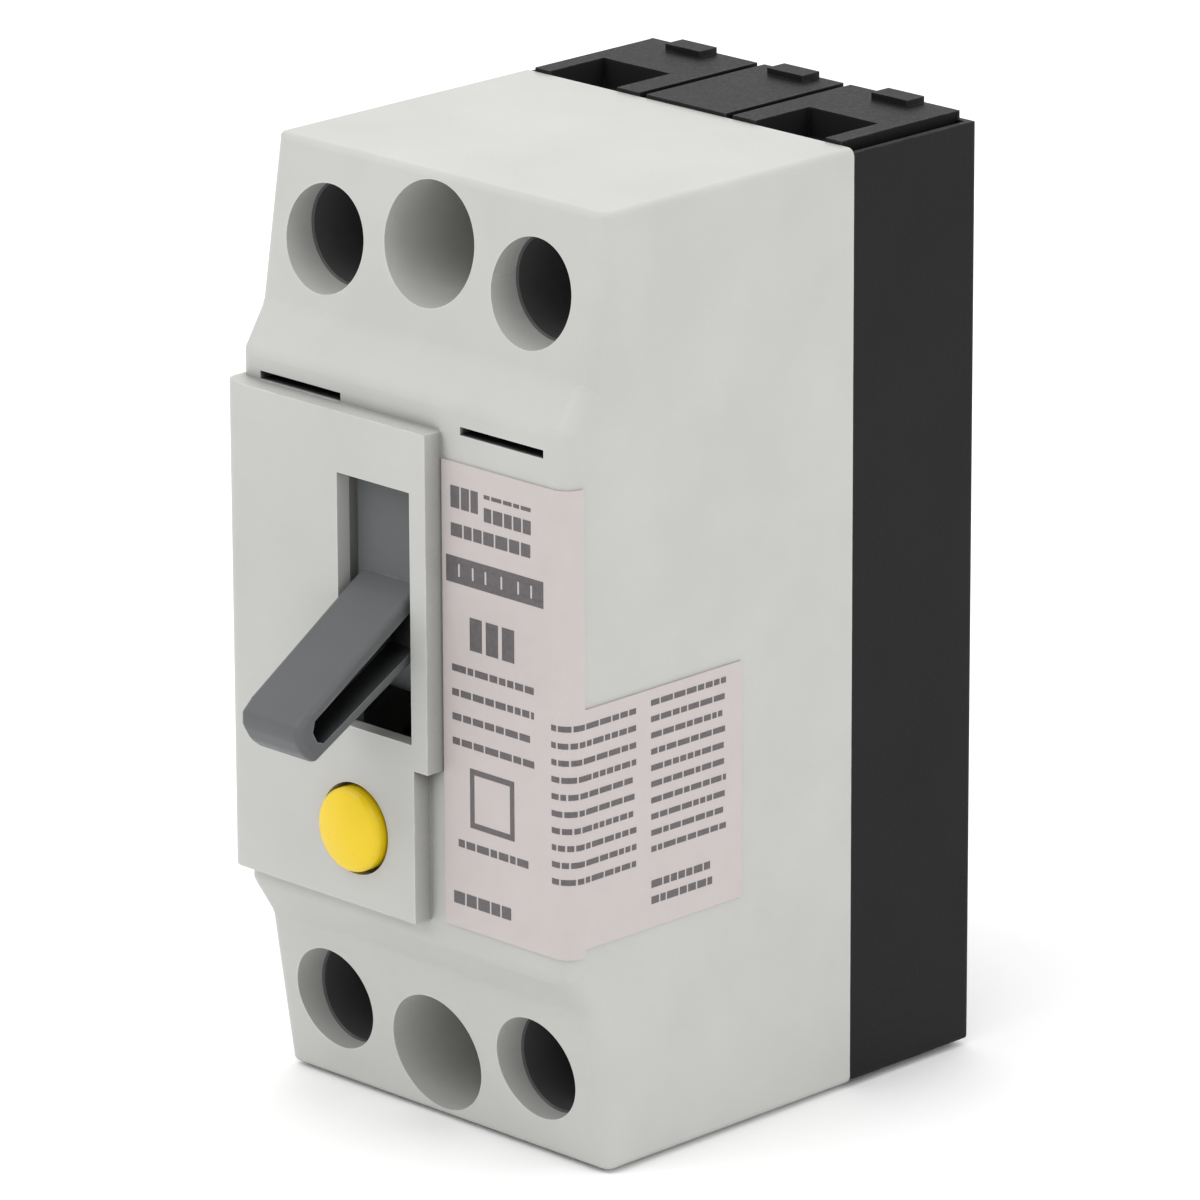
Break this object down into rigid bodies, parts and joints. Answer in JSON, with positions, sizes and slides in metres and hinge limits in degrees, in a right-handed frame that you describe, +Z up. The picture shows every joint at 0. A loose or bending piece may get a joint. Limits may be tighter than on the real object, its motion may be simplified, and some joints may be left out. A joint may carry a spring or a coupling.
{
  "type": "earth leakage circuit breaker",
  "caption": "Compact earth-leakage (GFCI) breaker: grey cover with toggle handle, test button and label, black base with wire entries, screw terminals, contacts, trip coil and sensing core.",
  "frame": {"origin": "centre of the flat rear mounting face", "axes": "+X to the right seen from the front, +Y out of the rear face into the mounting plate (the front faces -Y), +Z up, towards the line-side terminals"},
  "size_m": [0.0332, 0.0533, 0.0711],
  "materials": {
    "cover_plastic": "fine-textured light grey moulding",
    "base_plastic": "fine-textured black moulding",
    "label_film": "satin printed film label",
    "handle_plastic": "satin dark grey moulding",
    "button_plastic": "satin yellow moulding",
    "plated_steel": "zinc-plated steel",
    "arc_plate_steel": "bare steel plates",
    "terminal_brass": "plain brass",
    "arm_copper": "plain copper",
    "coil_copper": "enamelled copper winding",
    "contact_silver": "silver alloy",
    "mechanism_moulding": "brown-black phenolic moulding",
    "core_casing": "beige casing",
    "lead_insulation": "dark red insulation",
    "board_laminate": "green circuit laminate",
    "varistor_lacquer": "blue lacquer",
    "capacitor_film": "ochre coating",
    "chip_plastic": "black epoxy",
    "resistor_body": "beige lacquer"
  },
  "bodies": {
    "housing_body": {"housing_cover": "cover_plastic", "housing_base": "base_plastic", "rating_label": "label_film", "handle_pin": "plated_steel", "mechanism_frame_left": "plated_steel", "mechanism_frame_right": "plated_steel", "latch_pin": "plated_steel", "solenoid_frame": "plated_steel", "plunger_spring": "plated_steel", "case_screw_line_left": "plated_steel", "case_screw_line_right": "plated_steel", "case_screw_load_left": "plated_steel", "case_screw_load_right": "plated_steel", "arc_chute_left": "arc_plate_steel", "arc_chute_right": "arc_plate_steel", "line_terminal_left": "terminal_brass", "line_terminal_right": "terminal_brass", "load_terminal_left": "terminal_brass", "load_terminal_right": "terminal_brass", "test_blade": "terminal_brass", "bimetal_left": "arm_copper", "bimetal_right": "arm_copper", "solenoid_coil": "coil_copper", "fixed_contact_left": "contact_silver", "fixed_contact_right": "contact_silver", "sensing_core": "core_casing", "primary_lead_left": "lead_insulation", "primary_lead_right": "lead_insulation", "circuit_board": "board_laminate", "surge_varistor": "varistor_lacquer", "filter_capacitor": "capacitor_film", "control_chip": "chip_plastic", "test_resistor": "resistor_body"},
    "handle_body": {"handle": "handle_plastic"},
    "link_body": {"drive_link": "plated_steel"},
    "contact_body": {"contact_carrier": "mechanism_moulding", "contact_arm_left": "arm_copper", "contact_arm_right": "arm_copper", "moving_contact_left": "contact_silver", "moving_contact_right": "contact_silver"},
    "test_button_body": {"test_button": "button_plastic"},
    "plunger_body": {"solenoid_plunger": "plated_steel"},
    "trip_bar_body": {"trip_bar": "mechanism_moulding"},
    "latch_body": {"latch_lever": "plated_steel"},
    "line_clamp_left_body": {"line_clamp_left": "plated_steel"},
    "line_screw_left_body": {"line_screw_left": "plated_steel"},
    "line_clamp_right_body": {"line_clamp_right": "plated_steel"},
    "line_screw_right_body": {"line_screw_right": "plated_steel"},
    "load_clamp_left_body": {"load_clamp_left": "plated_steel"},
    "load_screw_left_body": {"load_screw_left": "plated_steel"},
    "load_clamp_right_body": {"load_clamp_right": "plated_steel"},
    "load_screw_right_body": {"load_screw_right": "plated_steel"}
  },
  "joints": [
    {"name": "handle_turn", "type": "hinge", "parent": "housing_body", "child": "handle_body", "pos_m": [0, -0.034, 0.0042], "axis": [-1, 0, 0], "range_deg": [0, 45]},
    {"name": "link_turn", "type": "hinge", "parent": "handle_body", "child": "link_body", "pos_m": [0, -0.02883, 0.00634], "axis": [1, 0, 0], "range_deg": [0, 69]},
    {"name": "contact_turn", "type": "hinge", "parent": "housing_body", "child": "contact_body", "pos_m": [0, -0.015, 0.001], "axis": [-1, 0, 0], "range_deg": [0, 18]},
    {"name": "test_press", "type": "slide", "parent": "housing_body", "child": "test_button_body", "axis": [0, 1, 0], "range_m": [0, 0.001], "stiffness_N_per_m": 600, "springref_m": -0.0005},
    {"name": "plunger_stroke", "type": "slide", "parent": "housing_body", "child": "plunger_body", "axis": [0, 0, 1], "range_m": [0, 0.001], "stiffness_N_per_m": 300, "springref_m": -0.0005},
    {"name": "trip_turn", "type": "hinge", "parent": "housing_body", "child": "trip_bar_body", "pos_m": [0, -0.0252, -0.0092], "axis": [1, 0, 0], "range_deg": [0, 15]},
    {"name": "latch_turn", "type": "hinge", "parent": "housing_body", "child": "latch_body", "pos_m": [0, -0.0218, 0.01], "axis": [1, 0, 0], "range_deg": [0, 6]},
    {"name": "line_left_clamp_travel", "type": "slide", "parent": "housing_body", "child": "line_clamp_left_body", "axis": [0, 1, 0], "range_m": [0, 0.0042]},
    {"name": "line_left_screw_turn", "type": "hinge", "parent": "line_clamp_left_body", "child": "line_screw_left_body", "pos_m": [-0.0103, 0, 0.02845], "axis": [0, 1, 0], "range_deg": [0, 2160]},
    {"name": "line_right_clamp_travel", "type": "slide", "parent": "housing_body", "child": "line_clamp_right_body", "axis": [0, 1, 0], "range_m": [0, 0.0042]},
    {"name": "line_right_screw_turn", "type": "hinge", "parent": "line_clamp_right_body", "child": "line_screw_right_body", "pos_m": [0.0103, 0, 0.02845], "axis": [0, 1, 0], "range_deg": [0, 2160]},
    {"name": "load_left_clamp_travel", "type": "slide", "parent": "housing_body", "child": "load_clamp_left_body", "axis": [0, 1, 0], "range_m": [0, 0.0042]},
    {"name": "load_left_screw_turn", "type": "hinge", "parent": "load_clamp_left_body", "child": "load_screw_left_body", "pos_m": [-0.0103, 0, -0.02845], "axis": [0, 1, 0], "range_deg": [0, 2160]},
    {"name": "load_right_clamp_travel", "type": "slide", "parent": "housing_body", "child": "load_clamp_right_body", "axis": [0, 1, 0], "range_m": [0, 0.0042]},
    {"name": "load_right_screw_turn", "type": "hinge", "parent": "load_clamp_right_body", "child": "load_screw_right_body", "pos_m": [0.0103, 0, -0.02845], "axis": [0, 1, 0], "range_deg": [0, 2160]}
  ],
  "couplings": [
    {"joint": "link_turn", "follows": "handle_turn", "ratio": 1.5333},
    {"joint": "contact_turn", "follows": "handle_turn", "ratio": 0.4},
    {"joint": "trip_turn", "follows": "plunger_stroke", "rad_per_m": 261.8},
    {"joint": "latch_turn", "follows": "plunger_stroke", "rad_per_m": 104.72},
    {"joint": "line_left_screw_turn", "follows": "line_left_clamp_travel", "rad_per_m": 8976},
    {"joint": "line_right_screw_turn", "follows": "line_right_clamp_travel", "rad_per_m": 8976},
    {"joint": "load_left_screw_turn", "follows": "load_left_clamp_travel", "rad_per_m": 8976},
    {"joint": "load_right_screw_turn", "follows": "load_right_clamp_travel", "rad_per_m": 8976}
  ]
}
